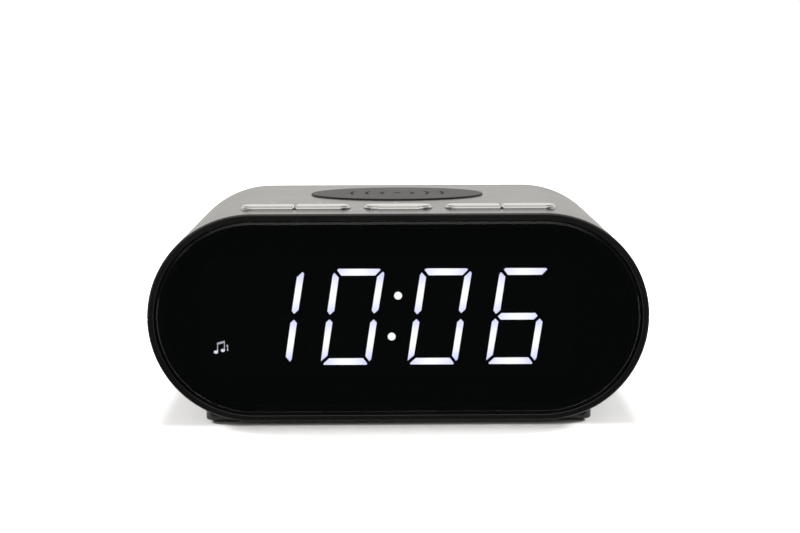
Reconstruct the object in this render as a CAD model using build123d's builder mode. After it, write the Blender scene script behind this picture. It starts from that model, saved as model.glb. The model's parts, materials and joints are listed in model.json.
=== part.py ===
from build123d import *
import os

os.makedirs("parts", exist_ok=True)

# Bedside clock radio with a full-width display, a row of keys on top and an
# oval phone-charging pad.  Millimetres.  Origin on the surface it stands on,
# under the middle of the casing; +X right, +Y towards the back, +Z up.

# ------------------------------------------------------------------ casing
W, H, D = 200.0, 84.0, 116.0     # outer width, height and depth of the casing
STAND = 1.5                      # clearance between casing and table
ZB, ZT = STAND, STAND + H        # underside and top of the casing
ZC = STAND + H / 2               # mid height, where the two shells part
YF, YR = -D / 2, D / 2           # front and back planes
WALL = 2.4                       # shell wall
RIM = 2.6                        # front rim around the lens
FRONT_R, REAR_R = 0.7, 3.0       # roundings of the outer edges
LEDGE_Y0, LEDGE_Y1 = -54.5, -52.5
LEDGE_IN = 6.4                   # inner outline of the lens ledge
RING_Y0, RING_IN = 52.5, 5.0     # rear ring that carries the back panel
GROOVE_Y0, GROOVE_Y1, GROOVE_IN = 54.7, 57.1, 3.2

# ------------------------------------------------------------------ lens
LENS_IN, LENS_Y0, LENS_Y1 = 3.2, -57.8, -54.7
BEVEL_W, BEVEL_D = 1.1, 0.62     # shallow polished bevel along its edge

# ------------------------------------------------------------------ keys
KEY_Y, KEY_D = -39.0, 9.0        # middle and depth of the key row
KEY_FIT = 0.3                    # gap between a key and its opening
KEY_STEP, KEY_TOP = 1.05, 1.45   # heights of the two tiers above the casing
KEY_GAP = 0.4                    # gap between two keys in one opening
FLANGE_Z0, FLANGE_Z1 = 81.6, 82.6
LEFT = (-63.5, -19.3, -41.7)     # left end, right end, split
MID = (-13.6, 13.8)
RIGHT = (19.2, 64.0, 42.0)
MID_BLOCK = (-8.2, 8.7, 1.6)     # raised bar of the middle key, and its reach
KEY_TRAVEL = 0.5

# ------------------------------------------------------------------ pad
PAD_X, PAD_Y = 75.0, 47.5        # axes of the oval
PAD_C = 13.2                     # its centre, back from the middle
PAD_SINK, PAD_PROUD = 0.7, 0.65

# ------------------------------------------------------------------ feet
FOOT_X, FOOT_Y, FOOT_W = 69.9, 45.7, 16.4
PLINTH_Z, FOOT_PAD_W, FOOT_PAD_Z = 1.15, 12.0, 2.0

# ------------------------------------------------------------------ boards
DPCB_Y0, DPCB_Y1 = -45.2, -43.6
MPCB_Z0, MPCB_Z1 = 12.0, 13.6
KPCB_Z0, KPCB_Z1 = 74.4, 76.0
CPCB_Z0, CPCB_Z1 = 72.5, 74.1

# ------------------------------------------------------------------ speaker
SPK_X = 48.0
# ------------------------------------------------------------------ sockets
DC_X, DC_Z = -55.0, 19.1
USB_X, USB_Z = -30.0, 16.8
# ------------------------------------------------------------------ battery
BAT_X, BAT_Y = 40.0, -15.0

POSTS = [(80, -30), (-80, -30), (80, 30), (-80, 30)]          # case screws
DPOSTS = [(84, 20), (-84, 20)]                                # display posts
KPOSTS = [(62, -48), (-62, -48), (62, -28), (-62, -28)]       # key board
TPOSTS = [(30, PAD_C - 18), (-30, PAD_C - 18), (30, PAD_C + 18), (-30, PAD_C + 18)]
MPOSTS = [(-66, -30), (6, -30), (-66, 36), (6, 36)]           # main board


def front(y):
    """Plane that faces the front, at depth y: local x is X, local y is Z - ZC."""
    return Plane(origin=(0, y, ZC), x_dir=(1, 0, 0), z_dir=(0, -1, 0))


def about_y(x, z):
    """Half plane for turning a profile (radius, depth) about an axis along Y."""
    return Plane(origin=(x, 0, z), x_dir=(1, 0, 0), z_dir=(0, 0, 1))


# =================================================================== casing
with BuildPart() as casing:
    with BuildSketch(front(YR)):
        SlotOverall(W, H)
    extrude(amount=D)
    fillet(casing.faces().sort_by(Axis.Y)[-1].edges(), radius=REAR_R)
    fillet(casing.faces().sort_by(Axis.Y)[0].edges(), radius=FRONT_R)
    # lens pocket, with a fine bevel on the rim's inner edge
    with BuildSketch(front(LEDGE_Y0)):
        SlotOverall(W - 2 * RIM, H - 2 * RIM)
    extrude(amount=LEDGE_Y0 - YF, mode=Mode.SUBTRACT)
    chamfer(casing.faces().sort_by(Axis.Y)[0].inner_wires()[0].edges(), 0.14)
    # opening inside the ledge
    with BuildSketch(front(LEDGE_Y1)):
        SlotOverall(W - 2 * LEDGE_IN, H - 2 * LEDGE_IN)
    extrude(amount=LEDGE_Y1 - LEDGE_Y0, mode=Mode.SUBTRACT)
    # main cavity
    with BuildSketch(front(RING_Y0)):
        SlotOverall(W - 2 * WALL, H - 2 * WALL)
    extrude(amount=RING_Y0 - LEDGE_Y1, mode=Mode.SUBTRACT)
    # rear ring and the groove that holds the back panel
    with BuildSketch(front(YR)):
        SlotOverall(W - 2 * RING_IN, H - 2 * RING_IN)
    extrude(amount=YR - RING_Y0, mode=Mode.SUBTRACT)
    with BuildSketch(front(GROOVE_Y1)):
        SlotOverall(W - 2 * GROOVE_IN, H - 2 * GROOVE_IN)
    extrude(amount=GROOVE_Y1 - GROOVE_Y0, mode=Mode.SUBTRACT)
    # fine V line where the shells meet
    with BuildSketch(front(YR)):
        with Locations((W / 2, 0), (-W / 2, 0)):
            Rectangle(0.55, 0.55, rotation=45)
    extrude(amount=D, mode=Mode.SUBTRACT)
    # the same line across the front rim
    with BuildSketch(front(YF + 0.45)):
        Rectangle(W + 2, 0.34)
    extrude(amount=1, mode=Mode.SUBTRACT)

# posts that run from the shell wall to the seam, trimmed to the wall
with BuildPart() as upper_posts:
    with BuildSketch(Plane.XY.offset(ZC)):
        with Locations(*POSTS):
            Circle(3.6)
    extrude(amount=40)
    with BuildSketch(front(50)):
        SlotOverall(W - 2.4, H - 2.4)
    extrude(amount=100, mode=Mode.INTERSECT)

with BuildPart() as lower_posts:
    with BuildSketch(Plane.XY):
        with Locations(*POSTS):
            Circle(4.6)
    extrude(amount=ZC)
    with BuildSketch(front(50)):
        SlotOverall(W - 1.6, H - 1.6)
    extrude(amount=100, mode=Mode.INTERSECT)

# ---------------------------------------------------------------- upper shell
with BuildPart() as upper_shell:
    add(casing.part)
    split(bisect_by=Plane.XY.offset(ZC), keep=Keep.TOP)
    add(upper_posts.part)
    # posts and gussets that hold the display board
    with BuildSketch(front(DPCB_Y0)):
        with Locations(*DPOSTS):
            Circle(2.5)
    extrude(amount=DPCB_Y0 - LEDGE_Y0)
    with BuildSketch(front(LEDGE_Y1)):
        with Locations((87, 20), (-87, 20)):
            Rectangle(6, 5)
    extrude(amount=LEDGE_Y1 - LEDGE_Y0)
    # posts for the key board and for the coil tray
    with BuildSketch(Plane.XY.offset(KPCB_Z1)):
        with Locations(*KPOSTS):
            Circle(2.5)
    extrude(amount=83.6 - KPCB_Z1)
    with BuildSketch(Plane.XY.offset(80.8)):
        with Locations(*TPOSTS):
            Circle(2.5)
    extrude(amount=83.6 - 80.8)
    # shallow recess for the charging pad
    with BuildSketch(Plane.XY.offset(ZT - PAD_SINK)):
        with Locations((0, PAD_C)):
            Ellipse(PAD_X / 2 + 0.15, PAD_Y / 2 + 0.15)
    extrude(amount=PAD_SINK + 1, mode=Mode.SUBTRACT)
    # openings for the keys
    with BuildSketch(Plane.XY.offset(ZT - 6)):
        for a, b in ((LEFT[0], LEFT[1]), MID, (RIGHT[0], RIGHT[1])):
            with Locations(((a + b) / 2, KEY_Y)):
                SlotOverall(b - a + 2 * KEY_FIT, KEY_D + 2 * KEY_FIT)
        with Locations(((MID_BLOCK[0] + MID_BLOCK[1]) / 2, KEY_Y - (KEY_D / 2 + MID_BLOCK[2] + KEY_FIT) / 2)):
            Rectangle(MID_BLOCK[1] - MID_BLOCK[0] + 2 * KEY_FIT, KEY_D / 2 + MID_BLOCK[2] + KEY_FIT)
    extrude(amount=8, mode=Mode.SUBTRACT)
    # pilot holes
    with BuildSketch(Plane.XY.offset(ZC)):
        with Locations(*POSTS):
            Circle(1.55)
    extrude(amount=12, mode=Mode.SUBTRACT)
    with BuildSketch(Plane.XY.offset(KPCB_Z1)):
        with Locations(*KPOSTS):
            Circle(1.05)
    extrude(amount=6, mode=Mode.SUBTRACT)
    with BuildSketch(Plane.XY.offset(80.8)):
        with Locations(*TPOSTS):
            Circle(1.05)
    extrude(amount=3.0, mode=Mode.SUBTRACT)
    with BuildSketch(front(DPCB_Y0)):
        with Locations(*DPOSTS):
            Circle(1.15)
    extrude(amount=7.0, mode=Mode.SUBTRACT)
upper_shell.part.label = "upper_shell"
export_step(upper_shell.part, "parts/upper_shell.step")

# ---------------------------------------------------------------- lower shell
with BuildPart() as plinths:
    with BuildSketch(Plane.XY.offset(PLINTH_Z)):
        with GridLocations(2 * FOOT_X, 2 * FOOT_Y, 2, 2):
            RectangleRounded(FOOT_W, FOOT_W, 3.5)
    extrude(amount=10)
    fillet(plinths.faces().group_by(Axis.Z)[0].edges(), radius=0.7)
    with BuildSketch(front(LEDGE_Y1 + 110)):
        SlotOverall(W - 2 * WALL, H - 2 * WALL)
    extrude(amount=120, mode=Mode.SUBTRACT)

with BuildPart() as lower_shell:
    add(casing.part)
    split(bisect_by=Plane.XY.offset(ZC), keep=Keep.BOTTOM)
    add(plinths.part)
    add(lower_posts.part)
    # lip that locates the upper shell
    with BuildSketch(Plane.XY.offset(ZC - 2)):
        with Locations((96.95, -1), (-96.95, -1)):
            Rectangle(1.7, 98)
    extrude(amount=2)
    with BuildSketch(Plane.XY.offset(ZC - 2)):
        with Locations((96.7, -1), (-96.7, -1)):
            Rectangle(1.2, 98)
    extrude(amount=4)
    # display posts and gussets
    with BuildSketch(front(DPCB_Y0)):
        with Locations((84, -20), (-84, -20)):
            Circle(2.5)
    extrude(amount=DPCB_Y0 - LEDGE_Y0)
    with BuildSketch(front(LEDGE_Y1)):
        with Locations((87, -20), (-87, -20)):
            Rectangle(6, 5)
    extrude(amount=LEDGE_Y1 - LEDGE_Y0)
    # main board posts
    with BuildSketch(Plane.XY.offset(ZB + 1)):
        with Locations(*[(x, y) for x, y in MPOSTS if abs(x) < 50]):
            Circle(3)
    extrude(amount=MPCB_Z0 - ZB - 1)
    with BuildSketch(Plane.XY.offset(ZB + 3)):
        with Locations(*[(x, y) for x, y in MPOSTS if abs(x) > 50]):
            Circle(3)
    extrude(amount=MPCB_Z0 - ZB - 3)
    # battery bay: thick floor and a wall around the cell
    with BuildSketch(Plane.XY.offset(ZB + 1)):
        with Locations((BAT_X, BAT_Y)):
            Circle(15.4)
    extrude(amount=6.6 - ZB - 1)
    with BuildSketch(Plane.XY.offset(6.0)):
        with Locations((BAT_X, BAT_Y)):
            Circle(15.4)
            Circle(13.9, mode=Mode.SUBTRACT)
    extrude(amount=10.15 - 6.0)
    with BuildSketch(Plane.XY.offset(ZB)):
        with Locations((BAT_X, BAT_Y)):
            Circle(13.8)
    extrude(amount=1.7, mode=Mode.SUBTRACT)
    with BuildSketch(Plane.XY.offset(ZB)):
        with Locations((BAT_X, BAT_Y)):
            Circle(11.8)
        with Locations((BAT_X, BAT_Y)):
            with PolarLocations(0, 2, start_angle=45):
                Rectangle(27.0, 5.4)
    extrude(amount=6.6 - ZB, mode=Mode.SUBTRACT)
    # recesses for the rubber feet
    with BuildSketch(Plane.XY):
        with GridLocations(2 * FOOT_X, 2 * FOOT_Y, 2, 2):
            RectangleRounded(FOOT_PAD_W + 0.2, FOOT_PAD_W + 0.2, 2.6)
    extrude(amount=FOOT_PAD_Z, mode=Mode.SUBTRACT)
    # deep counterbores for the case screws
    with BuildSketch(Plane.XY):
        with Locations(*POSTS):
            Circle(3.1)
    extrude(amount=28, mode=Mode.SUBTRACT)
    with BuildSketch(Plane.XY):
        with Locations(*POSTS):
            Circle(1.65)
    extrude(amount=ZC, mode=Mode.SUBTRACT)
    # pilot holes for the main board and the display board
    with BuildSketch(Plane.XY.offset(MPCB_Z0 - 5)):
        with Locations(*MPOSTS):
            Circle(1.25)
    extrude(amount=5, mode=Mode.SUBTRACT)
    with BuildSketch(front(DPCB_Y0)):
        with Locations((84, -20), (-84, -20)):
            Circle(1.15)
    extrude(amount=7.0, mode=Mode.SUBTRACT)
lower_shell.part.label = "lower_shell"
export_step(lower_shell.part, "parts/lower_shell.step")

# ---------------------------------------------------------------- case screws
with BuildPart() as case_screws:
    with BuildSketch(Plane.XY.offset(25.8)):
        with Locations(*POSTS):
            Circle(2.75)
    extrude(amount=2.2)
    with BuildSketch(Plane.XY.offset(28)):
        with Locations(*POSTS):
            Circle(1.5)
    extrude(amount=26)
    with BuildSketch(Plane.XY.offset(25.8)):
        with Locations(*POSTS):
            Rectangle(3.0, 0.8)
            Rectangle(0.8, 3.0)
    extrude(amount=1.2, mode=Mode.SUBTRACT)
case_screws.part.label = "case_screws"
export_step(case_screws.part, "parts/case_screws.step")

# ---------------------------------------------------------------- rubber feet
with BuildPart() as foot_pads:
    with BuildSketch(Plane.XY):
        with GridLocations(2 * FOOT_X, 2 * FOOT_Y, 2, 2):
            RectangleRounded(FOOT_PAD_W, FOOT_PAD_W, 2.5)
    extrude(amount=FOOT_PAD_Z)
    chamfer(foot_pads.faces().group_by(Axis.Z)[0].edges(), 0.25)
foot_pads.part.label = "foot_pads"
export_step(foot_pads.part, "parts/foot_pads.step")

# =================================================================== front
with BuildPart() as front_lens:
    with BuildSketch(front(LENS_Y1)):
        SlotOverall(W - 2 * LENS_IN, H - 2 * LENS_IN)
    extrude(amount=LENS_Y1 - LENS_Y0 - BEVEL_D)
    with BuildSketch(front(LENS_Y0 + BEVEL_D)):
        SlotOverall(W - 2 * LENS_IN, H - 2 * LENS_IN)
    with BuildSketch(front(LENS_Y0)):
        SlotOverall(W - 2 * (LENS_IN + BEVEL_W), H - 2 * (LENS_IN + BEVEL_W))
    loft()
front_lens.part.label = "front_lens"
export_step(front_lens.part, "parts/front_lens.step")

with BuildPart() as lens_gasket:
    with BuildSketch(front(LEDGE_Y0)):
        SlotOverall(W - 2 * LENS_IN, H - 2 * LENS_IN)
        SlotOverall(W - 2 * LEDGE_IN, H - 2 * LEDGE_IN, mode=Mode.SUBTRACT)
    extrude(amount=LEDGE_Y0 - LENS_Y1)
lens_gasket.part.label = "lens_gasket"
export_step(lens_gasket.part, "parts/lens_gasket.step")

# ---------------------------------------------------------------- display
# Outlines of the seven slanted segments of the rightmost digit (x, z - ZC)
SEG = {
    "a": [(42.03, 19.01), (42.72, 19.58), (58.94, 19.5), (59.36, 18.99), (57.2, 16.8), (43.67, 16.8)],
    "b": [(60.22, 18.34), (57.95, 16.2), (55.75, 2.67), (56.65, 1.39), (58.43, 3.03), (60.85, 17.7)],
    "c": [(56.55, -0.95), (55.11, -2.23), (53.05, -15.99), (54.65, -18.07), (55.4, -17.15), (57.69, -2.3)],
    "d": [(38.48, -16.8), (52.15, -16.8), (53.73, -18.93), (53.54, -19.5), (36.37, -19.45), (36.15, -18.93)],
    "e": [(38.8, -0.87), (37.4, -2.14), (35.18, -17.97), (37.82, -15.68), (39.99, -2.16)],
    "f": [(40.92, 17.97), (40.23, 16.9), (37.99, 2.42), (39.01, 0.99), (40.74, 2.55), (42.66, 16.04)],
    "g": [(39.78, 0.04), (41.17, 1.36), (54.79, 1.36), (55.7, 0.11), (54.11, -1.33), (40.91, -1.33)],
}
DIGIT = [-98.35, -66.4, -31.6, 0.0]            # places of the four digits
LIT = ["bc", "abcdef", "abcdef", "acdefg"]     # 1 0 : 0 6
COLON = [(-0.12, 8.6), (-2.74, -8.0)]
DOT_R = 1.58
SEG_Y0, SEG_Y1 = -54.2, -53.0                  # front and back of the light bars
MOD_Y0 = -54.2


def segments(which):
    """Faces of the chosen segments, drawn into the open sketch."""
    for shift, names in zip(DIGIT, which):
        for n in names:
            with BuildLine() as outline:
                Polyline(*[(x + shift, z) for x, z in SEG[n]], close=True)
            make_face(outline.edges())


def symbols():
    """Colon, and the small alarm symbol: two joined notes beside a figure 1."""
    with Locations(*COLON):
        Circle(DOT_R)
    with Locations((-73.25, -14.0)):
        Ellipse(0.85, 0.68)
    with Locations((-70.45, -13.3)):
        Ellipse(0.85, 0.68)
    with BuildLine() as notes:
        Polyline((-72.75, -14.0), (-72.75, -10.2), (-69.62, -9.35), (-69.62, -13.3),
                 (-69.98, -13.3), (-69.98, -10.3), (-72.39, -10.95), (-72.39, -14.0), close=True)
    make_face(notes.edges())
    with BuildLine() as figure:
        Polyline((-68.35, -13.5), (-68.35, -11.0), (-68.68, -11.0), (-69.2, -11.5), (-69.05, -11.78),
                 (-68.75, -11.55), (-68.75, -13.5), close=True)
    make_face(figure.edges())


with BuildPart() as display_module:
    with BuildSketch(front(DPCB_Y0)):
        with Locations((-5, 0)):
            RectangleRounded(150, 50, 1.0)
    extrude(amount=DPCB_Y0 - MOD_Y0)
    with BuildSketch(front(SEG_Y1)):
        segments(["abcdefg"] * 4)
        symbols()
    extrude(amount=SEG_Y1 - SEG_Y0 + 1, mode=Mode.SUBTRACT)
display_module.part.label = "display_module"
export_step(display_module.part, "parts/display_module.step")

with BuildPart() as lit_segments:
    with BuildSketch(front(SEG_Y1)):
        segments(LIT)
        symbols()
    extrude(amount=SEG_Y1 - SEG_Y0)
lit_segments.part.label = "lit_segments"
export_step(lit_segments.part, "parts/lit_segments.step")

with BuildPart() as unlit_segments:
    with BuildSketch(front(SEG_Y1)):
        segments(["".join(c for c in "abcdefg" if c not in s) for s in LIT])
    extrude(amount=SEG_Y1 - SEG_Y0)
unlit_segments.part.label = "unlit_segments"
export_step(unlit_segments.part, "parts/unlit_segments.step")

with BuildPart() as display_pcb:
    with BuildSketch(front(DPCB_Y1)):
        RectangleRounded(178, 56, 12)
        with GridLocations(168, 40, 2, 2):
            Circle(1.4, mode=Mode.SUBTRACT)
    extrude(amount=DPCB_Y1 - DPCB_Y0)
display_pcb.part.label = "display_pcb"
export_step(display_pcb.part, "parts/display_pcb.step")

with BuildPart() as display_screws:
    with BuildSketch(front(DPCB_Y1 + 1.5)):
        with GridLocations(168, 40, 2, 2):
            Circle(2.2)
    extrude(amount=1.5)
    with BuildSketch(front(DPCB_Y1)):
        with GridLocations(168, 40, 2, 2):
            Circle(1.1)
    extrude(amount=8)
    with BuildSketch(front(DPCB_Y1 + 1.5)):
        with GridLocations(168, 40, 2, 2):
            Rectangle(2.4, 0.6)
            Rectangle(0.6, 2.4)
    extrude(amount=0.8, mode=Mode.SUBTRACT)
display_screws.part.label = "display_screws"
export_step(display_screws.part, "parts/display_screws.step")

with BuildPart() as display_driver:
    with BuildSketch(front(DPCB_Y1 + 1.8)):
        with Locations((20, 8)):
            Rectangle(16, 12)
        with Locations((-46, 8)):
            Rectangle(9, 9)
    extrude(amount=1.8)
display_driver.part.label = "display_driver"
export_step(display_driver.part, "parts/display_driver.step")

# =================================================================== keys
SURF = ZT


def key_outline(a, b, xa, xb, inset, block=0.0):
    """Outline of one key of a pill-shaped group, pulled in by inset."""
    with Locations(((a + b) / 2, KEY_Y)):
        SlotOverall(b - a - 2 * inset, KEY_D - 2 * inset)
    if block:
        reach = KEY_D / 2 + block - inset
        with Locations(((MID_BLOCK[0] + MID_BLOCK[1]) / 2, KEY_Y - reach / 2)):
            Rectangle(MID_BLOCK[1] - MID_BLOCK[0] - 2 * inset, reach)
    with Locations(((xa + xb) / 2, KEY_Y)):
        Rectangle(xb - xa - 2 * inset, 40, mode=Mode.INTERSECT)


KEYS = {
    "alarm_1": (LEFT[0], LEFT[1], -90.0, LEFT[2] - KEY_GAP / 2, -52.7, 0.0),
    "alarm_2": (LEFT[0], LEFT[1], LEFT[2] + KEY_GAP / 2, 0.0, -30.4, 0.0),
    "snooze": (MID[0], MID[1], -40.0, 40.0, 0.2, MID_BLOCK[2]),
    "minus": (RIGHT[0], RIGHT[1], 0.0, RIGHT[2] - KEY_GAP / 2, 30.6, 0.0),
    "plus": (RIGHT[0], RIGHT[1], RIGHT[2] + KEY_GAP / 2, 90.0, 53.0, 0.0),
}
# Each key: a flange that stops it under the casing, a stem onto its switch,
# and a chromed head in two tiers.
for name, (a, b, xa, xb, xs, block) in KEYS.items():
    with BuildPart() as key:
        with BuildSketch(Plane.XY.offset(FLANGE_Z0)):
            lo, hi = max(xa, a), min(xb, b)
            with Locations(((a + b) / 2, KEY_Y)):
                SlotOverall(b - a + 3, KEY_D + 3)
            with Locations(((lo + hi) / 2, KEY_Y)):
                Rectangle(hi - lo, 40, mode=Mode.INTERSECT)
            if block:
                with Locations(((MID_BLOCK[0] + MID_BLOCK[1]) / 2, KEY_Y - 3.65)):
                    Rectangle(MID_BLOCK[1] - MID_BLOCK[0] + 2.4, 7.3)
        extrude(amount=FLANGE_Z1 - FLANGE_Z0)
        with BuildSketch(Plane.XY.offset(FLANGE_Z1)) as lower:
            key_outline(a, b, xa, xb, 0.0, block)
            cut = [v for v in lower.vertices() if min(abs(v.X - xa), abs(v.X - xb)) < 0.01]
            if cut:
                fillet(cut, radius=0.7)
        extrude(amount=SURF + KEY_STEP - FLANGE_Z1)
        fillet(key.faces().sort_by(Axis.Z)[-1].edges(), radius=0.7)
        with BuildSketch(Plane.XY.offset(SURF)) as upper:
            key_outline(a, b, xa, xb, 0.6, block)
            cut = [v for v in upper.vertices()
                   if min(abs(v.X - xa - 0.6), abs(v.X - xb + 0.6)) < 0.01]
            if cut:
                fillet(cut, radius=0.5)
        extrude(amount=KEY_TOP)
        fillet(key.faces().sort_by(Axis.Z)[-1].edges(), radius=0.28)
        with BuildSketch(Plane.XY.offset(80.6)):
            with Locations((xs, KEY_Y)):
                Circle(2.2)
        extrude(amount=FLANGE_Z0 - 80.6)
    key.part.label = "key_" + name
    export_step(key.part, "parts/key_" + name + ".step")

    with BuildPart() as plunger:
        with BuildSketch(Plane.XY.offset(78.2)):
            with Locations((xs, KEY_Y)):
                Circle(1.7)
        extrude(amount=80.6 - 78.2)
    plunger.part.label = "plunger_" + name
    export_step(plunger.part, "parts/plunger_" + name + ".step")

KX = [k[4] for k in KEYS.values()]
with BuildPart() as switch_bodies:
    with BuildSketch(Plane.XY.offset(KPCB_Z1)):
        with Locations(*[(x, KEY_Y) for x in KX]):
            RectangleRounded(6.2, 6.2, 0.5)
    extrude(amount=3.4)
    with BuildSketch(Plane.XY.offset(77.4)):
        with Locations(*[(x, KEY_Y) for x in KX]):
            Circle(1.85)
    extrude(amount=3, mode=Mode.SUBTRACT)
switch_bodies.part.label = "switch_bodies"
export_step(switch_bodies.part, "parts/switch_bodies.step")

with BuildPart() as key_pcb:
    with BuildSketch(Plane.XY.offset(KPCB_Z0)):
        with Locations((0, -38.5)):
            RectangleRounded(134, 25, 2)
        with Locations(*KPOSTS):
            Circle(1.2, mode=Mode.SUBTRACT)
    extrude(amount=KPCB_Z1 - KPCB_Z0)
key_pcb.part.label = "key_pcb"
export_step(key_pcb.part, "parts/key_pcb.step")

with BuildPart() as key_pcb_screws:
    with BuildSketch(Plane.XY.offset(KPCB_Z0 - 1.3)):
        with Locations(*KPOSTS):
            Circle(1.9)
    extrude(amount=1.3)
    with BuildSketch(Plane.XY.offset(KPCB_Z0)):
        with Locations(*KPOSTS):
            Circle(1.0)
    extrude(amount=6)
    with BuildSketch(Plane.XY.offset(KPCB_Z0 - 1.3)):
        with Locations(*KPOSTS):
            Rectangle(2.0, 0.5)
            Rectangle(0.5, 2.0)
    extrude(amount=0.7, mode=Mode.SUBTRACT)
key_pcb_screws.part.label = "key_pcb_screws"
export_step(key_pcb_screws.part, "parts/key_pcb_screws.step")

# =================================================================== pad
# Plain wave symbol inlaid in the pad: a dot between three arcs on each side.
def waves():
    with Locations((0, PAD_C)):
        Circle(1.7)
    for r, half in ((7.0, 40), (13.5, 27), (20.0, 19)):
        for mid in (0, 180):
            with BuildLine() as arc:
                o = CenterArc((0, PAD_C), r + 0.65, mid - half, 2 * half)
                i = CenterArc((0, PAD_C), r - 0.65, mid - half, 2 * half)
                Line(o @ 0, i @ 0)
                Line(o @ 1, i @ 1)
            make_face(arc.edges())


PAD_TOP = ZT + PAD_PROUD
with BuildPart() as charging_pad:
    with BuildSketch(Plane.XY.offset(ZT - PAD_SINK)):
        with Locations((0, PAD_C)):
            Ellipse(PAD_X / 2, PAD_Y / 2)
    extrude(amount=PAD_SINK + PAD_PROUD)
    fillet(charging_pad.faces().sort_by(Axis.Z)[-1].edges(), radius=0.3)
    with BuildSketch(Plane.XY.offset(PAD_TOP - 0.4)):
        waves()
    extrude(amount=1, mode=Mode.SUBTRACT)
charging_pad.part.label = "charging_pad"
export_step(charging_pad.part, "parts/charging_pad.step")

with BuildPart() as pad_symbol:
    with BuildSketch(Plane.XY.offset(PAD_TOP - 0.4)):
        waves()
    extrude(amount=0.32)
pad_symbol.part.label = "pad_symbol"
export_step(pad_symbol.part, "parts/pad_symbol.step")

with BuildPart() as charging_coil:
    with BuildSketch(Plane.XY.offset(81.9)):
        with Locations((0, PAD_C)):
            Circle(21.5)
            Circle(10.5, mode=Mode.SUBTRACT)
    extrude(amount=1.1)
charging_coil.part.label = "charging_coil"
export_step(charging_coil.part, "parts/charging_coil.step")

with BuildPart() as coil_shield:
    with BuildSketch(Plane.XY.offset(80.9)):
        with Locations((0, PAD_C)):
            RectangleRounded(48, 44, 2)
    extrude(amount=1.0)
coil_shield.part.label = "coil_shield"
export_step(coil_shield.part, "parts/coil_shield.step")

with BuildPart() as coil_tray:
    with BuildSketch(Plane.XY.offset(79.0)):
        with Locations((0, PAD_C)):
            RectangleRounded(68, 45, 3)
        with Locations(*TPOSTS):
            Circle(1.2, mode=Mode.SUBTRACT)
    extrude(amount=1.8)
    with BuildSketch(Plane.XY.offset(CPCB_Z1)):
        with Locations((0, PAD_C)):
            with GridLocations(46, 26, 2, 2):
                Circle(2.4)
    extrude(amount=79.0 - CPCB_Z1)
coil_tray.part.label = "coil_tray"
export_step(coil_tray.part, "parts/coil_tray.step")

with BuildPart() as tray_screws:
    with BuildSketch(Plane.XY.offset(77.7)):
        with Locations(*TPOSTS):
            Circle(1.9)
    extrude(amount=1.3)
    with BuildSketch(Plane.XY.offset(79.0)):
        with Locations(*TPOSTS):
            Circle(1.0)
    extrude(amount=4.6)
    with BuildSketch(Plane.XY.offset(77.7)):
        with Locations(*TPOSTS):
            Rectangle(2.0, 0.5)
            Rectangle(0.5, 2.0)
    extrude(amount=0.7, mode=Mode.SUBTRACT)
tray_screws.part.label = "tray_screws"
export_step(tray_screws.part, "parts/tray_screws.step")

with BuildPart() as charger_pcb:
    with BuildSketch(Plane.XY.offset(CPCB_Z0)):
        with Locations((0, PAD_C)):
            RectangleRounded(54, 34, 2)
    extrude(amount=CPCB_Z1 - CPCB_Z0)
charger_pcb.part.label = "charger_pcb"
export_step(charger_pcb.part, "parts/charger_pcb.step")

with BuildPart() as charger_parts:
    with BuildSketch(Plane.XY.offset(CPCB_Z0 - 3.0)):
        with Locations((-15, PAD_C + 6)):
            RectangleRounded(10, 10, 1.5)
        with Locations((12, PAD_C - 6), (18, PAD_C - 6)):
            Rectangle(4.4, 8)
    extrude(amount=3.0)
    with BuildSketch(Plane.XY.offset(CPCB_Z0 - 1.0)):
        with Locations((0, PAD_C + 5)):
            Rectangle(7, 7)
    extrude(amount=1.0)
charger_parts.part.label = "charger_parts"
export_step(charger_parts.part, "parts/charger_parts.step")

# =================================================================== back
with BuildPart() as rear_panel:
    with BuildSketch(front(57.0)):
        SlotOverall(W - 6.8, H - 6.8)
    extrude(amount=2.2)
    # bosses for the speaker screws
    with BuildSketch(front(54.8)):
        with Locations((SPK_X, 0)):
            with PolarLocations(25.3, 4, start_angle=45):
                Circle(2.4)
    extrude(amount=0.8)
    with BuildSketch(front(56.2)):
        with Locations((SPK_X, 0)):
            with PolarLocations(25.3, 4, start_angle=45):
                Circle(1.25)
    extrude(amount=2.4, mode=Mode.SUBTRACT)
    # grille: rings of small holes
    with BuildSketch(front(57.0)):
        with Locations((SPK_X, 0)):
            Circle(1.2)
            for r, n in ((4.2, 6), (8.4, 12), (12.6, 18), (16.8, 24)):
                with PolarLocations(r, n):
                    Circle(1.2)
        # sockets
        with Locations((DC_X, DC_Z - ZC)):
            Circle(4.4)
        with Locations((USB_X, USB_Z - ZC)):
            RectangleRounded(14.2, 6.8, 0.8)
        # vents
        with Locations((-47, 10)):
            with GridLocations(5.0, 1, 9, 1):
                SlotOverall(14, 1.8, rotation=90)
    extrude(amount=2.2, mode=Mode.SUBTRACT)
rear_panel.part.label = "rear_panel"
export_step(rear_panel.part, "parts/rear_panel.step")

with BuildPart() as dc_jack:
    with BuildSketch(Plane.XY.offset(MPCB_Z1)):
        with Locations((DC_X, 47.6)):
            Rectangle(9.2, 14.0)
    extrude(amount=11.0)
    with BuildSketch(front(56.8)):
        with Locations((DC_X, DC_Z - ZC)):
            Circle(4.15)
    extrude(amount=2.4)
    with BuildSketch(front(56.8)):
        with Locations((DC_X, DC_Z - ZC)):
            Circle(3.2)
    extrude(amount=10.0, mode=Mode.SUBTRACT)
dc_jack.part.label = "dc_jack"
export_step(dc_jack.part, "parts/dc_jack.step")

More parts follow.
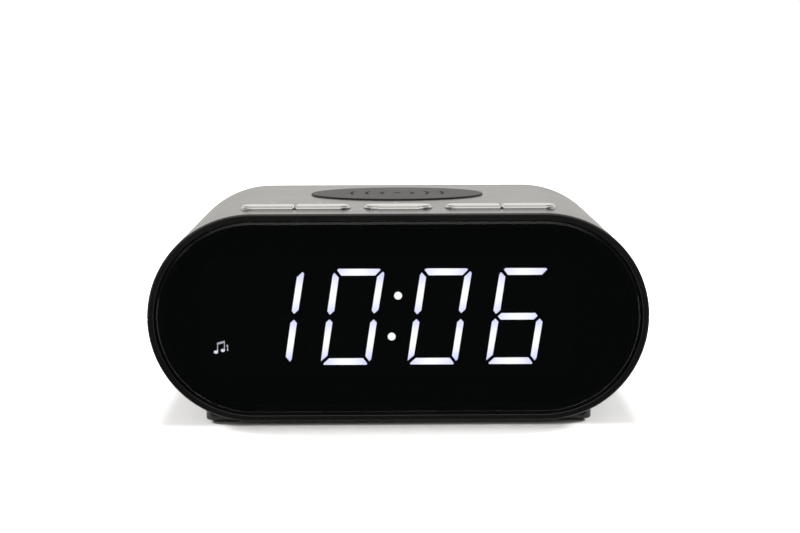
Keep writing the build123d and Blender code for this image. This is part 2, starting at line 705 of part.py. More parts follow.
with BuildPart() as dc_pin:
    with BuildSketch(front(53.4)):
        with Locations((DC_X, DC_Z - ZC)):
            Circle(1.05)
    extrude(amount=6.6)
    fillet(dc_pin.faces().sort_by(Axis.Y)[-1].edges(), radius=0.5)
dc_pin.part.label = "dc_pin"
export_step(dc_pin.part, "parts/dc_pin.step")

with BuildPart() as usb_shell:
    with BuildSketch(front(56.6)):
        with Locations((USB_X, USB_Z - ZC)):
            RectangleRounded(13.4, 6.0, 0.6)
    extrude(amount=13.6)
    with BuildSketch(front(56.6)):
        with Locations((USB_X, USB_Z - ZC)):
            RectangleRounded(12.6, 5.2, 0.3)
    extrude(amount=13.2, mode=Mode.SUBTRACT)
usb_shell.part.label = "usb_shell"
export_step(usb_shell.part, "parts/usb_shell.step")

with BuildPart() as usb_tongue:
    with BuildSketch(front(55.4)):
        with Locations((USB_X, USB_Z - ZC + 0.85)):
            Rectangle(11.1, 1.85)
    extrude(amount=12.0)
usb_tongue.part.label = "usb_tongue"
export_step(usb_tongue.part, "parts/usb_tongue.step")

# ---------------------------------------------------------------- speaker
SPK_AXIS = Axis((SPK_X, 0, ZC), (0, 1, 0))

with BuildPart() as speaker_frame:
    with BuildSketch(about_y(SPK_X, ZC)):
        with BuildLine():
            Polyline((20.6, 54.0), (28.0, 54.0), (28.0, 52.4), (22.0, 52.4), (16.0, 40.0), (16.0, 38.5),
                     (8.2, 38.5), (8.2, 39.7), (15.0, 39.7), (20.6, 51.6), close=True)
        make_face()
    revolve(axis=SPK_AXIS)
    with BuildSketch(front(50.0)):
        with Locations((SPK_X, 0)):
            Rectangle(60, 15)
            Rectangle(15, 60)
    extrude(amount=9.0, mode=Mode.SUBTRACT)
    with BuildSketch(front(54.0)):
        with Locations((SPK_X, 0)):
            with PolarLocations(25.3, 4, start_angle=45):
                Circle(1.4)
    extrude(amount=1.6, mode=Mode.SUBTRACT)
speaker_frame.part.label = "speaker_frame"
export_step(speaker_frame.part, "parts/speaker_frame.step")

with BuildPart() as speaker_gasket:
    with BuildSketch(front(54.8)):
        with Locations((SPK_X, 0)):
            Circle(27.6)
            Circle(20.6, mode=Mode.SUBTRACT)
            with PolarLocations(25.3, 4, start_angle=45):
                Circle(2.5, mode=Mode.SUBTRACT)
    extrude(amount=0.8)
speaker_gasket.part.label = "speaker_gasket"
export_step(speaker_gasket.part, "parts/speaker_gasket.step")

with BuildPart() as speaker_screws:
    with BuildSketch(front(52.4)):
        with Locations((SPK_X, 0)):
            with PolarLocations(25.3, 4, start_angle=45):
                Circle(2.1)
    extrude(amount=1.4)
    with BuildSketch(front(56.0)):
        with Locations((SPK_X, 0)):
            with PolarLocations(25.3, 4, start_angle=45):
                Circle(1.2)
    extrude(amount=3.6)
speaker_screws.part.label = "speaker_screws"
export_step(speaker_screws.part, "parts/speaker_screws.step")

with BuildPart() as speaker_yoke:
    with BuildSketch(about_y(SPK_X, ZC)):
        with BuildLine():
            Polyline((0, 29.4), (14.0, 29.4), (14.0, 31.0), (5.6, 31.0), (5.6, 38.4), (0, 38.4), close=True)
        make_face()
    revolve(axis=SPK_AXIS)
speaker_yoke.part.label = "speaker_yoke"
export_step(speaker_yoke.part, "parts/speaker_yoke.step")

with BuildPart() as speaker_magnet:
    with BuildSketch(front(36.6)):
        with Locations((SPK_X, 0)):
            Circle(15.8)
            Circle(7.6, mode=Mode.SUBTRACT)
    extrude(amount=5.6)
speaker_magnet.part.label = "speaker_magnet"
export_step(speaker_magnet.part, "parts/speaker_magnet.step")

with BuildPart() as speaker_top_plate:
    with BuildSketch(front(38.5)):
        with Locations((SPK_X, 0)):
            Circle(15.0)
            Circle(6.9, mode=Mode.SUBTRACT)
    extrude(amount=1.9)
speaker_top_plate.part.label = "speaker_top_plate"
export_step(speaker_top_plate.part, "parts/speaker_top_plate.step")

with BuildPart() as voice_coil:
    with BuildSketch(front(43.0)):
        with Locations((SPK_X, 0)):
            Circle(6.4)
            Circle(6.0, mode=Mode.SUBTRACT)
    extrude(amount=10.0)
voice_coil.part.label = "voice_coil"
export_step(voice_coil.part, "parts/voice_coil.step")

with BuildPart() as speaker_cone:
    with BuildSketch(about_y(SPK_X, ZC)):
        with BuildLine():
            Polyline((6.4, 42.4), (17.3, 51.4), (18.0, 51.4), (18.0, 51.9), (17.1, 51.9), (6.4, 43.0), close=True)
        make_face()
    revolve(axis=SPK_AXIS)
speaker_cone.part.label = "speaker_cone"
export_step(speaker_cone.part, "parts/speaker_cone.step")

with BuildPart() as speaker_dust_cap:
    with Locations((SPK_X, 33.12, ZC)):
        Sphere(13.7)
        Sphere(13.3, mode=Mode.SUBTRACT)
    with BuildSketch(front(60)):
        with Locations((SPK_X, 0)):
            Circle(7.6)
    extrude(amount=16.0, mode=Mode.INTERSECT)
speaker_dust_cap.part.label = "speaker_dust_cap"
export_step(speaker_dust_cap.part, "parts/speaker_dust_cap.step")

with BuildPart() as speaker_surround:
    with BuildSketch(about_y(SPK_X, ZC)):
        with BuildLine():
            ThreePointArc((18.25, 51.7), (19.4, 52.8), (20.55, 51.7))
            Line((20.55, 51.7), (20.15, 51.7))
            ThreePointArc((20.15, 51.7), (19.4, 52.42), (18.65, 51.7))
            Line((18.65, 51.7), (18.25, 51.7))
        make_face()
    revolve(axis=SPK_AXIS)
speaker_surround.part.label = "speaker_surround"
export_step(speaker_surround.part, "parts/speaker_surround.step")

# =================================================================== main board
with BuildPart() as main_pcb:
    with BuildSketch(Plane.XY.offset(MPCB_Z0)):
        with Locations((-30, 8)):
            RectangleRounded(82, 90, 2)
        with Locations(*MPOSTS):
            Circle(1.4, mode=Mode.SUBTRACT)
    extrude(amount=MPCB_Z1 - MPCB_Z0)
main_pcb.part.label = "main_pcb"
export_step(main_pcb.part, "parts/main_pcb.step")

with BuildPart() as main_pcb_screws:
    with BuildSketch(Plane.XY.offset(MPCB_Z0 - 4.6)):
        with Locations(*MPOSTS):
            Circle(1.2)
    extrude(amount=MPCB_Z1 - MPCB_Z0 + 4.6)
    with BuildSketch(Plane.XY.offset(MPCB_Z1)):
        with Locations(*MPOSTS):
            Circle(2.3)
    extrude(amount=1.6)
    with BuildSketch(Plane.XY.offset(MPCB_Z1 + 0.8)):
        with Locations(*MPOSTS):
            Rectangle(2.6, 0.6)
            Rectangle(0.6, 2.6)
    extrude(amount=1, mode=Mode.SUBTRACT)
main_pcb_screws.part.label = "main_pcb_screws"
export_step(main_pcb_screws.part, "parts/main_pcb_screws.step")

with BuildPart() as tuner_can:
    with BuildSketch(Plane.XY.offset(MPCB_Z1)):
        with Locations((-50, 12)):
            RectangleRounded(24, 20, 1)
    extrude(amount=6.0)
tuner_can.part.label = "tuner_can"
export_step(tuner_can.part, "parts/tuner_can.step")

with BuildPart() as main_chips:
    with BuildSketch(Plane.XY.offset(MPCB_Z1)):
        with Locations((-22, 6)):
            Rectangle(14, 14)
        with Locations((-8, 28)):
            Rectangle(10, 8)
        with Locations((-48, -12)):
            Rectangle(8, 6)
    extrude(amount=1.8)
main_chips.part.label = "main_chips"
export_step(main_chips.part, "parts/main_chips.step")

with BuildPart() as capacitors:
    with BuildSketch(Plane.XY.offset(MPCB_Z1)):
        with Locations((-42, 36), (-22, 36), (-8, 14), (2, 20)):
            Circle(3.6)
    extrude(amount=11.0)
    fillet(capacitors.faces().group_by(Axis.Z)[-1].edges(), radius=0.5)
capacitors.part.label = "capacitors"
export_step(capacitors.part, "parts/capacitors.step")

# White sockets for the ribbons: on the main board, the display board and the
# key board.
with BuildPart() as ribbon_sockets:
    with BuildSketch(Plane.XY.offset(MPCB_Z1)):
        with Locations((-30, -26)):
            Rectangle(22, 5)
        with Locations((-50, -26)):
            Rectangle(16, 5)
    extrude(amount=4.0)
    with BuildSketch(front(DPCB_Y1 + 4.0)):
        with Locations((-30, -14)):
            Rectangle(22, 5)
    extrude(amount=4.0)
    with BuildSketch(Plane.XY.offset(KPCB_Z0 - 4.0)):
        with Locations((-50, -29.5)):
            Rectangle(16, 4)
    extrude(amount=4.0)
ribbon_sockets.part.label = "ribbon_sockets"
export_step(ribbon_sockets.part, "parts/ribbon_sockets.step")

with BuildPart() as display_ribbon:
    with BuildSketch(Plane(origin=(-40, 0, 0), x_dir=(0, 1, 0), z_dir=(1, 0, 0))) as bend:
        z1 = ZC - 14
        with BuildLine():
            Polyline((DPCB_Y1 + 4.0, z1 - 0.2), (-26.2, z1 - 0.2), (-26.2, MPCB_Z1 + 4.0),
                     (-25.8, MPCB_Z1 + 4.0), (-25.8, z1 + 0.2), (DPCB_Y1 + 4.0, z1 + 0.2), close=True)
        make_face()
        inner = bend.vertices().sort_by(lambda v: abs(v.X + 26.2) + abs(v.Y - z1 + 0.2))[0]
        fillet(inner, radius=3.0)
        outer = bend.vertices().sort_by(lambda v: abs(v.X + 25.8) + abs(v.Y - z1 - 0.2))[0]
        fillet(outer, radius=3.4)
    extrude(amount=20)
display_ribbon.part.label = "display_ribbon"
export_step(display_ribbon.part, "parts/display_ribbon.step")

with BuildPart() as key_ribbon:
    with BuildSketch(Plane.XY.offset(MPCB_Z1 + 4.0)):
        with Locations((-50, -27.9)):
            Rectangle(14, 0.4)
    extrude(amount=KPCB_Z0 - 4.0 - MPCB_Z1 - 4.0)
key_ribbon.part.label = "key_ribbon"
export_step(key_ribbon.part, "parts/key_ribbon.step")

# =================================================================== battery
with BuildPart() as battery_cap:
    with BuildSketch(Plane.XY.offset(ZB)):
        with Locations((BAT_X, BAT_Y)):
            Circle(13.5)
    extrude(amount=1.6)
    with BuildSketch(Plane.XY.offset(ZB + 1.6)):
        with Locations((BAT_X, BAT_Y)):
            Circle(11.5)
    extrude(amount=6.75 - ZB - 1.6)
    with BuildSketch(Plane.XY.offset(6.75)):
        with Locations((BAT_X, BAT_Y)):
            Circle(11.5)
            Circle(10.5, mode=Mode.SUBTRACT)
            Rectangle(26.4, 4.6)
            Circle(10.5, mode=Mode.SUBTRACT)
    extrude(amount=1.0)
    with BuildSketch(Plane.XY.offset(ZB)):
        with Locations((BAT_X, BAT_Y)):
            SlotOverall(14, 1.9)
    extrude(amount=0.9, mode=Mode.SUBTRACT)
battery_cap.part.label = "battery_cap"
export_step(battery_cap.part, "parts/battery_cap.step")

with BuildPart() as coin_cell:
    with BuildSketch(Plane.XY.offset(6.85)):
        with Locations((BAT_X, BAT_Y)):
            Circle(9.0)
    extrude(amount=0.4)
    with BuildSketch(Plane.XY.offset(7.25)):
        with Locations((BAT_X, BAT_Y)):
            Circle(10.0)
    extrude(amount=2.8)
    fillet(coin_cell.faces().sort_by(Axis.Z)[-1].edges(), radius=0.4)
coin_cell.part.label = "coin_cell"
export_step(coin_cell.part, "parts/coin_cell.step")

with BuildPart() as battery_contact:
    with BuildSketch(Plane.XY.offset(10.15)):
        with Locations((BAT_X, BAT_Y)):
            Rectangle(30, 6)
    extrude(amount=0.4)
battery_contact.part.label = "battery_contact"
export_step(battery_contact.part, "parts/battery_contact.step")

print("casing", W, H, D, "overall height", max(ZT + KEY_TOP, PAD_TOP))
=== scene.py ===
import bpy, bmesh, math, json, random
from math import sin, cos, pi, radians, sqrt
from mathutils import Vector, Matrix


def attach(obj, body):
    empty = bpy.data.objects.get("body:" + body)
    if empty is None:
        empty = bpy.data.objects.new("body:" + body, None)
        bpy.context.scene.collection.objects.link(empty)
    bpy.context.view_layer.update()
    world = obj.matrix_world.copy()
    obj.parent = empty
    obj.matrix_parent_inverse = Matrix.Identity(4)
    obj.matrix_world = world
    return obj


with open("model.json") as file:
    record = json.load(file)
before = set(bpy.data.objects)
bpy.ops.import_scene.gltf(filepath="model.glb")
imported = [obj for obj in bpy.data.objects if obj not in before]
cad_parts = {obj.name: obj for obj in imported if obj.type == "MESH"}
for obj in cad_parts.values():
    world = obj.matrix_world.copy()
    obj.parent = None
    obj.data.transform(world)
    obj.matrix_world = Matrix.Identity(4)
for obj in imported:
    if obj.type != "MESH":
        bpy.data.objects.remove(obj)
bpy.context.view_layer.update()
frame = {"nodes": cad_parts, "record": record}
nodes = frame["nodes"]
scene = bpy.context.scene
random.seed(7)

MM = 0.001
ZC = 0.0435            # mid height of the casing
ZT = 0.0855            # top of the casing


# ------------------------------------------------------------------ node help
class Mat:
    """Small helper to write node materials."""

    def __init__(self, name):
        self.m = bpy.data.materials.new(name)
        self.m.use_nodes = True
        self.nt = self.m.node_tree
        self.nt.nodes.clear()
        self.out = self.nt.nodes.new("ShaderNodeOutputMaterial")
        self.p = self.nt.nodes.new("ShaderNodeBsdfPrincipled")
        self.nt.links.new(self.p.outputs[0], self.out.inputs["Surface"])
        tc = self.nt.nodes.new("ShaderNodeTexCoord")
        self.obj = tc.outputs["Object"]

    def node(self, kind, **props):
        n = self.nt.nodes.new(kind)
        for k, v in props.items():
            setattr(n, k, v)
        return n

    def link(self, a, b):
        self.nt.links.new(a, b)

    def val(self, key, v):
        self.p.inputs[key].default_value = v

    def scaled(self, sx, sy=None, sz=None, vec=None):
        n = self.node("ShaderNodeMapping")
        self.link(vec or self.obj, n.inputs["Vector"])
        n.inputs["Scale"].default_value = (sx, sx if sy is None else sy, sx if sz is None else sz)
        return n.outputs[0]

    def noise(self, scale, detail=3.0, rough=0.55, vec=None, dist=0.0):
        n = self.node("ShaderNodeTexNoise")
        n.inputs["Scale"].default_value = scale
        n.inputs["Detail"].default_value = detail
        n.inputs["Roughness"].default_value = rough
        n.inputs["Distortion"].default_value = dist
        self.link(vec or self.obj, n.inputs["Vector"])
        return n.outputs["Fac"]

    def voronoi(self, scale, feature="F1", vec=None, out="Distance"):
        n = self.node("ShaderNodeTexVoronoi")
        n.feature = feature
        n.inputs["Scale"].default_value = scale
        self.link(vec or self.obj, n.inputs["Vector"])
        return n.outputs[out]

    def ramp(self, fac, stops):
        n = self.node("ShaderNodeValToRGB")
        cr = n.color_ramp
        while len(cr.elements) > 1:
            cr.elements.remove(cr.elements[-1])
        cr.elements[0].position = stops[0][0]
        cr.elements[0].color = col(stops[0][1])
        for p, c in stops[1:]:
            e = cr.elements.new(p)
            e.color = col(c)
        self.link(fac, n.inputs["Fac"])
        return n.outputs["Color"]

    def map(self, fac, a, b, c, d, smooth=False):
        n = self.node("ShaderNodeMapRange")
        if smooth:
            n.interpolation_type = "SMOOTHSTEP"
        self.link(fac, n.inputs["Value"])
        for k, v in zip(("From Min", "From Max", "To Min", "To Max"), (a, b, c, d)):
            n.inputs[k].default_value = v
        return n.outputs[0]

    def math(self, op, a, b=None, c=None):
        n = self.node("ShaderNodeMath", operation=op)
        for i, v in enumerate((a, b, c)):
            if v is None:
                continue
            if isinstance(v, (int, float)):
                n.inputs[i].default_value = v
            else:
                self.link(v, n.inputs[i])
        return n.outputs[0]

    def mix(self, fac, a, b, blend="MIX"):
        n = self.node("ShaderNodeMix", data_type="RGBA", blend_type=blend)
        if isinstance(fac, (int, float)):
            n.inputs[0].default_value = fac
        else:
            self.link(fac, n.inputs[0])
        for i, v in ((6, a), (7, b)):
            if isinstance(v, (tuple, list)):
                n.inputs[i].default_value = col(v)
            else:
                self.link(v, n.inputs[i])
        return n.outputs[2]

    def xyz(self, vec=None):
        n = self.node("ShaderNodeSeparateXYZ")
        self.link(vec or self.obj, n.inputs[0])
        return n.outputs

    def bump(self, height, strength=0.2, distance=0.0001, normal=None):
        n = self.node("ShaderNodeBump")
        n.inputs["Strength"].default_value = strength
        n.inputs["Distance"].default_value = distance
        self.link(height, n.inputs["Height"])
        if normal is not None:
            self.link(normal, n.inputs["Normal"])
        return n.outputs[0]


def col(c):
    return tuple(c) + (1.0,) if len(c) == 3 else tuple(c)


def plastic(name, base, rough, spread=0.05, grain=1800.0, grain_depth=0.00002, strength=0.25, spec=0.5,
            coat=0.0, tint=0.12, wear=0.0):
    """Moulded plastic: fine spark-eroded grain, slow tone drift and faint handling marks."""
    k = Mat(name)
    slow = k.noise(22.0, 3.0)
    fine = k.noise(grain, 2.0, 0.6)
    lo = tuple(c * (1 - tint) for c in base)
    hi = tuple(min(1.0, c * (1 + tint)) for c in base)
    c = k.mix(k.map(slow, 0.3, 0.7, 0, 1), lo, hi)
    c = k.mix(k.map(fine, 0.35, 0.65, 0.0, 0.25), c, tuple(x * 0.6 for x in base))
    k.link(c, k.p.inputs["Base Color"])
    smudge = k.noise(9.0, 4.0, 0.6, dist=0.8)
    r = k.math("ADD", k.map(smudge, 0.35, 0.7, rough - spread, rough + spread), k.map(fine, 0.3, 0.7, -0.03, 0.03))
    k.link(r, k.p.inputs["Roughness"])
    k.link(k.bump(fine, strength, grain_depth), k.p.inputs["Normal"])
    k.val("Specular IOR Level", spec)
    if coat:
        k.val("Coat Weight", coat)
        k.val("Coat Roughness", 0.08)
    return k.m


def metal(name, base, rough, brushed=None, grain=2500.0, tint=0.08, strength=0.15):
    """Plated or machined metal with fine scratches, along an axis if brushed is given."""
    k = Mat(name)
    k.val("Metallic", 1.0)
    vec = k.scaled(*brushed) if brushed else k.obj
    n = k.noise(grain if not brushed else 1.0, 4.0, 0.65, vec=vec)
    slow = k.noise(60.0, 3.0)
    c = k.mix(k.map(slow, 0.3, 0.7, 0, 1), tuple(x * (1 - tint) for x in base), tuple(min(1, x * (1 + tint)) for x in base))
    k.link(c, k.p.inputs["Base Color"])
    k.link(k.math("ADD", k.map(n, 0.3, 0.7, rough - 0.06, rough + 0.06), k.map(slow, 0.35, 0.65, -0.03, 0.03)), k.p.inputs["Roughness"])
    k.link(k.bump(n, strength, 0.00001), k.p.inputs["Normal"])
    return k.m


# ------------------------------------------------------------------ materials
def mat_shell():
    """Satin-gloss black moulding of the casing."""
    k = Mat("casing_black")
    slow = k.noise(14.0, 3.0)
    fine = k.noise(2600.0, 2.0, 0.6)
    k.link(k.mix(k.map(slow, 0.3, 0.7, 0, 1), (0.0062, 0.0062, 0.0064), (0.0085, 0.0085, 0.0086)), k.p.inputs["Base Color"])
    smudge = k.noise(7.0, 5.0, 0.62, dist=1.2)
    r = k.math("ADD", k.map(smudge, 0.35, 0.7, SHELL_ROUGH - 0.02, SHELL_ROUGH + 0.03), k.map(fine, 0.3, 0.7, -0.015, 0.015))
    k.link(r, k.p.inputs["Roughness"])
    k.link(k.bump(fine, 0.06, 0.00001), k.p.inputs["Normal"])
    k.val("Specular IOR Level", 0.5)
    return k.m


SHELL_ROUGH = 0.24


def mat_lens():
    """Smoked acrylic sheet: almost black, lets the light bars through."""
    k = Mat("smoked_acrylic")
    k.val("Base Color", (0.0018, 0.0029, 0.0036, 1))
    k.val("Alpha", 0.62)
    k.val("IOR", 1.49)
    k.val("Specular IOR Level", 0.5)
    haze = k.noise(11.0, 4.0, 0.6, dist=1.0)
    k.link(k.map(haze, 0.3, 0.75, 0.03, 0.055), k.p.inputs["Roughness"])
    return k.m


def mat_pad():
    """Soft-touch rubber with a very fine stipple."""
    k = Mat("pad_rubber")
    st = k.voronoi(2600.0)
    n = k.noise(40.0, 4.0)
    k.link(k.mix(k.map(n, 0.3, 0.7, 0, 1), (0.009, 0.009, 0.0088), (0.013, 0.013, 0.0127)), k.p.inputs["Base Color"])
    k.link(k.map(n, 0.3, 0.7, 0.54, 0.62), k.p.inputs["Roughness"])
    k.link(k.bump(st, 0.15, 0.00003), k.p.inputs["Normal"])
    k.val("Specular IOR Level", 0.26)
    return k.m


def mat_key():
    """Vacuum-plated satin chrome."""
    k = Mat("plated_key")
    k.val("Metallic", 1.0)
    n = k.noise(900.0, 3.0)
    slow = k.noise(35.0, 3.0)
    k.link(k.mix(k.map(slow, 0.3, 0.7, 0, 1), (0.46, 0.46, 0.457), (0.50, 0.50, 0.497)), k.p.inputs["Base Color"])
    k.link(k.math("ADD", k.map(slow, 0.3, 0.7, 0.15, 0.2), k.map(n, 0.3, 0.7, -0.02, 0.02)), k.p.inputs["Roughness"])
    k.link(k.bump(n, 0.05, 0.000008), k.p.inputs["Normal"])
    return k.m


def mat_led(name, strength):
    """Light bars: white in the middle of each bar, lavender towards its ends."""
    k = Mat(name)
    k.val("Base Color", (0.85, 0.85, 0.9, 1))
    k.val("Roughness", 0.4)
    x, y, z = k.xyz()
    h = k.math("SUBTRACT", z, ZC)
    up = k.math("ABSOLUTE", h)
    along_z = k.math("DIVIDE", k.math("ABSOLUTE", k.math("SUBTRACT", up, 0.0093)), 0.0082)
    lean = k.math("MULTIPLY", h, 0.15)
    near = None
    for shift in (-98.35, -66.4, -31.6, 0.0):
        d = k.math("ABSOLUTE", k.math("SUBTRACT", k.math("SUBTRACT", x, lean), (shift + 47.6) * MM))
        near = d if near is None else k.math("MINIMUM", near, d)
    along_x = k.math("DIVIDE", near, 0.0088)
    flat = k.math("MAXIMUM", k.math("GREATER_THAN", up, 0.0167), k.math("LESS_THAN", up, 0.00142))
    t = k.math("ADD", k.math("MULTIPLY", along_x, flat), k.math("MULTIPLY", along_z, k.math("SUBTRACT", 1.0, flat)))
    t = k.math("ADD", t, k.map(k.noise(300.0, 2.0), 0.3, 0.7, -0.08, 0.08))
    small = k.math("LESS_THAN", x, -0.06)          # the small symbol at the left stays plain
    t = k.math("MULTIPLY", t, k.math("SUBTRACT", 1.0, small))
    c = k.ramp(t, [(0.15, (0.97, 0.99, 1.0)), (0.55, (0.86, 0.88, 0.99)), (0.98, (0.66, 0.68, 0.93))])
    head = k.math("LESS_THAN", h, -0.0129)
    tail = k.mix(head, (0.37, 0.37, 0.43), (0.68, 0.69, 0.78))
    c = k.mix(small, c, tail)
    k.link(c, k.p.inputs["Emission Color"])
    k.val("Emission Strength", strength)
    return k.m


def mat_board(name="circuit_board", flat="z"):
    """Green solder mask over copper tracks, with the track pattern from stepped noise."""
    k = Mat(name)
    sw = k.node("ShaderNodeSeparateXYZ")
    k.link(k.obj, sw.inputs[0])
    cb = k.node("ShaderNodeCombineXYZ")
    a, b = ("X", "Y") if flat == "z" else ("X", "Z")
    k.link(sw.outputs[a], cb.inputs["X"])
    k.link(sw.outputs[b], cb.inputs["Y"])
    br = k.node("ShaderNodeTexBrick")
    br.offset = 0.37
    br.inputs["Scale"].default_value = 260.0
    br.inputs["Mortar Size"].default_value = 0.035
    br.inputs["Brick Width"].default_value = 1.7
    br.inputs["Row Height"].default_value = 0.22
    k.link(cb.outputs[0], br.inputs["Vector"])
    area = k.map(k.voronoi(90.0, vec=cb.outputs[0], out="Color"), 0.45, 0.55, 0, 1)
    tracks = k.math("MULTIPLY", br.outputs["Fac"], area)
    c = k.mix(tracks, (0.006, 0.055, 0.022), (0.02, 0.12, 0.05))
    c = k.mix(k.map(k.noise(30.0), 0.3, 0.7, 0, 0.4), c, (0.004, 0.04, 0.018))
    k.link(c, k.p.inputs["Base Color"])
    k.link(k.map(k.noise(50.0), 0.3, 0.7, 0.22, 0.34), k.p.inputs["Roughness"])
    k.link(k.bump(tracks, 0.3, 0.00003), k.p.inputs["Normal"])
    return k.m


def mat_foam(name, base):
    k = Mat(name)
    v = k.voronoi(1500.0)
    k.link(k.mix(k.map(v, 0.1, 0.6, 0, 1), tuple(c * 0.4 for c in base), base), k.p.inputs["Base Color"])
    k.link(k.map(k.noise(60.0), 0.3, 0.7, 0.8, 0.95), k.p.inputs["Roughness"])
    k.link(k.bump(v, 0.6, 0.0002), k.p.inputs["Normal"])
    return k.m


def mat_ribbon():
    """Flat white cable with its parallel conductors showing."""
    k = Mat("flat_cable")
    x = k.xyz()["X"]
    w = k.math("SINE", k.math("MULTIPLY", x, 2 * pi / 0.001))
    c = k.mix(k.map(w, -0.2, 0.5, 0, 1), (0.62, 0.63, 0.66), (0.8, 0.81, 0.84))
    k.link(c, k.p.inputs["Base Color"])
    k.link(k.map(k.noise(80.0), 0.3, 0.7, 0.35, 0.5), k.p.inputs["Roughness"])
    k.link(k.bump(w, 0.4, 0.00008), k.p.inputs["Normal"])
    return k.m


def mat_ferrite():
    k = Mat("ferrite")
    n = k.noise(900.0, 4.0, 0.7)
    k.link(k.mix(k.map(n, 0.3, 0.7, 0, 1), (0.018, 0.018, 0.02), (0.045, 0.045, 0.048)), k.p.inputs["Base Color"])
    k.link(k.map(n, 0.3, 0.7, 0.45, 0.7), k.p.inputs["Roughness"])
    k.link(k.bump(n, 0.3, 0.00006), k.p.inputs["Normal"])
    return k.m


def mat_copper():
    k = Mat("enamelled_copper")
    k.val("Metallic", 1.0)
    n = k.noise(400.0, 3.0)
    k.link(k.mix(k.map(n, 0.3, 0.7, 0, 1), (0.55, 0.20, 0.09), (0.72, 0.31, 0.15)), k.p.inputs["Base Color"])
    k.link(k.map(n, 0.3, 0.7, 0.2, 0.32), k.p.inputs["Roughness"])
    k.val("Coat Weight", 0.6)
    k.val("Coat Roughness", 0.12)
    return k.m


def mat_coil(name, axis, centre, pitch):
    """Wound copper: one ring per turn about an axis, or one turn per step along it."""
    k = Mat(name)
    k.val("Metallic", 1.0)
    x, y, z = k.xyz()
    if axis == "z":
        a = k.math("SUBTRACT", x, centre[0])
        b = k.math("SUBTRACT", y, centre[1])
        d = k.math("SQRT", k.math("ADD", k.math("MULTIPLY", a, a), k.math("MULTIPLY", b, b)))
    else:
        d = y
    w = k.math("SINE", k.math("MULTIPLY", d, 2 * pi / pitch))
    n = k.noise(500.0, 3.0)
    c = k.mix(k.map(w, -1.0, 0.2, 0, 1), (0.12, 0.035, 0.012), (0.68, 0.27, 0.12))
    c = k.mix(k.map(n, 0.3, 0.7, 0, 0.35), c, (0.45, 0.16, 0.07))
    k.link(c, k.p.inputs["Base Color"])
    k.link(k.map(n, 0.3, 0.7, 0.2, 0.34), k.p.inputs["Roughness"])
    k.link(k.bump(w, 0.8, 0.0002), k.p.inputs["Normal"])
    k.val("Coat Weight", 0.5)
    k.val("Coat Roughness", 0.12)
    return k.m


def mat_cloth():
    """Woven acoustic cloth."""
    k = Mat("grille_cloth")
    x, y, z = k.xyz()
    a = k.math("SINE", k.math("MULTIPLY", x, 2 * pi / 0.00045))
    b = k.math("SINE", k.math("MULTIPLY", z, 2 * pi / 0.00045))
    w = k.math("MULTIPLY", a, b)
    n = k.noise(60.0, 3.0)
    c = k.mix(k.map(w, -0.6, 0.6, 0, 1), (0.006, 0.006, 0.006), (0.03, 0.03, 0.031))
    k.link(c, k.p.inputs["Base Color"])
    k.link(k.map(n, 0.3, 0.7, 0.8, 0.92), k.p.inputs["Roughness"])
    k.link(k.bump(w, 0.6, 0.0001), k.p.inputs["Normal"])
    return k.m


def mat_paper():
    k = Mat("cone_pulp")
    n = k.noise(1400.0, 5.0, 0.7)
    k.link(k.mix(k.map(n, 0.3, 0.7, 0, 1), (0.012, 0.012, 0.012), (0.035, 0.034, 0.032)), k.p.inputs["Base Color"])
    k.link(k.map(n, 0.3, 0.7, 0.75, 0.95), k.p.inputs["Roughness"])
    k.link(k.bump(n, 0.5, 0.00008), k.p.inputs["Normal"])
    return k.m


def mat_sleeve():
    """Shrink sleeve of a capacitor: dark blue, silver lid by height."""
    k = Mat("capacitor_sleeve")
    z = k.xyz()["Z"]
    lid = k.map(z, 0.02445, 0.02455, 0, 1)
    n = k.noise(120.0, 3.0)
    c = k.mix(k.map(n, 0.3, 0.7, 0, 1), (0.008, 0.012, 0.05), (0.014, 0.02, 0.08))
    k.link(k.mix(lid, c, (0.6, 0.6, 0.6)), k.p.inputs["Base Color"])
    k.link(lid, k.p.inputs["Metallic"])
    k.link(k.map(n, 0.3, 0.7, 0.25, 0.4), k.p.inputs["Roughness"])
    return k.m


